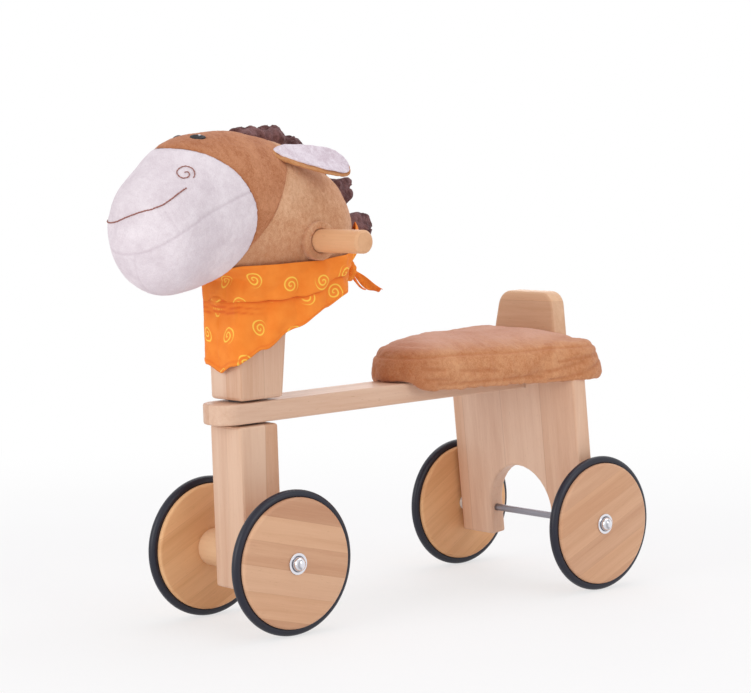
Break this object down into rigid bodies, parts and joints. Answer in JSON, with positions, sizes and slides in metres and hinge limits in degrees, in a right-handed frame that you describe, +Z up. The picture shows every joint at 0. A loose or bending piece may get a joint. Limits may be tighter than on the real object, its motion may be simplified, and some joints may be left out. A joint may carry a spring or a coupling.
{
  "type": "ride-on horse",
  "caption": "Toddler's ride-on horse with a wooden beam frame, wheels with rubber tyres, a steered stuffed head with a handlebar, and a padded seat with a small backrest.",
  "frame": {"origin": "on the floor, at the middle of the toy's length and width", "axes": "+Z up; the horse faces -Y, so +Y runs from its head to its seat; +X is the horse's left"},
  "size_m": [0.28, 0.622, 0.5184],
  "materials": {
    "beech": "satin",
    "tyre_rubber": "satin",
    "steel": "drawn",
    "chrome": "polished",
    "nylon": "matte",
    "brown_plush": "short pile",
    "white_plush": "short pile",
    "mane_plush": "short pile",
    "black_thread": "satin stitch",
    "scarf_cotton": "plain weave"
  },
  "bodies": {
    "frame": {"beam": "beech", "seat_board": "beech", "seat_cushion": "brown_plush", "backrest": "beech", "rear_leg": "beech", "rear_axle": "steel", "rear_washer_left": "nylon", "rear_washer_right": "nylon", "rear_cap_left": "chrome", "rear_cap_right": "chrome", "seat_screw_left": "steel", "seat_screw_right": "steel", "backrest_screw_left": "steel", "backrest_screw_right": "steel", "steering_bush": "nylon"},
    "steering": {"lower_post": "beech", "neck_post": "beech", "steering_shaft": "steel", "shaft_pin_lower": "steel", "shaft_pin_upper": "steel", "steering_washer_lower": "nylon", "steering_washer_upper": "nylon", "steering_stop_pin": "steel", "front_axle": "steel", "hub_spacer_left": "beech", "hub_spacer_right": "beech", "front_cap_left": "chrome", "front_cap_right": "chrome", "handle_bar": "beech", "handle_collar_left": "brown_plush", "handle_collar_right": "brown_plush", "muzzle_plush": "white_plush", "face_plush": "brown_plush", "neck_plush": "brown_plush", "ear_left": "brown_plush", "ear_right": "brown_plush", "eye_left": "black_thread", "eye_right": "black_thread", "mane_tuft_1": "mane_plush", "mane_tuft_2": "mane_plush", "mane_tuft_3": "mane_plush", "mane_tuft_4": "mane_plush", "mane_tuft_5": "mane_plush", "mane_tuft_6": "mane_plush", "scarf": "scarf_cotton", "scarf_knot": "scarf_cotton", "scarf_tail_left": "scarf_cotton", "scarf_tail_right": "scarf_cotton"},
    "front_left_wheel": {"wheel_disc_front_left": "beech", "tyre_front_left": "tyre_rubber", "wheel_bush_front_left": "nylon"},
    "front_right_wheel": {"wheel_disc_front_right": "beech", "tyre_front_right": "tyre_rubber", "wheel_bush_front_right": "nylon"},
    "rear_left_wheel": {"wheel_disc_rear_left": "beech", "tyre_rear_left": "tyre_rubber", "wheel_bush_rear_left": "nylon"},
    "rear_right_wheel": {"wheel_disc_rear_right": "beech", "tyre_rear_right": "tyre_rubber", "wheel_bush_rear_right": "nylon"}
  },
  "joints": [
    {"name": "steering_turn", "type": "hinge", "parent": "frame", "child": "steering", "pos_m": [0, -0.164, 0.075], "axis": [0, -0.0227, 0.9997], "range_deg": [-40, 40]},
    {"name": "front_left_wheel_turn", "type": "hinge", "parent": "steering", "child": "front_left_wheel", "pos_m": [0.0738, -0.164, 0.075], "axis": [1, 0, 0], "continuous": true},
    {"name": "front_right_wheel_turn", "type": "hinge", "parent": "steering", "child": "front_right_wheel", "pos_m": [-0.0738, -0.164, 0.075], "axis": [1, 0, 0], "continuous": true},
    {"name": "rear_left_wheel_turn", "type": "hinge", "parent": "frame", "child": "rear_left_wheel", "pos_m": [0.1161, 0.236, 0.075], "axis": [1, 0, 0], "continuous": true},
    {"name": "rear_right_wheel_turn", "type": "hinge", "parent": "frame", "child": "rear_right_wheel", "pos_m": [-0.1161, 0.236, 0.075], "axis": [1, 0, 0], "continuous": true}
  ]
}
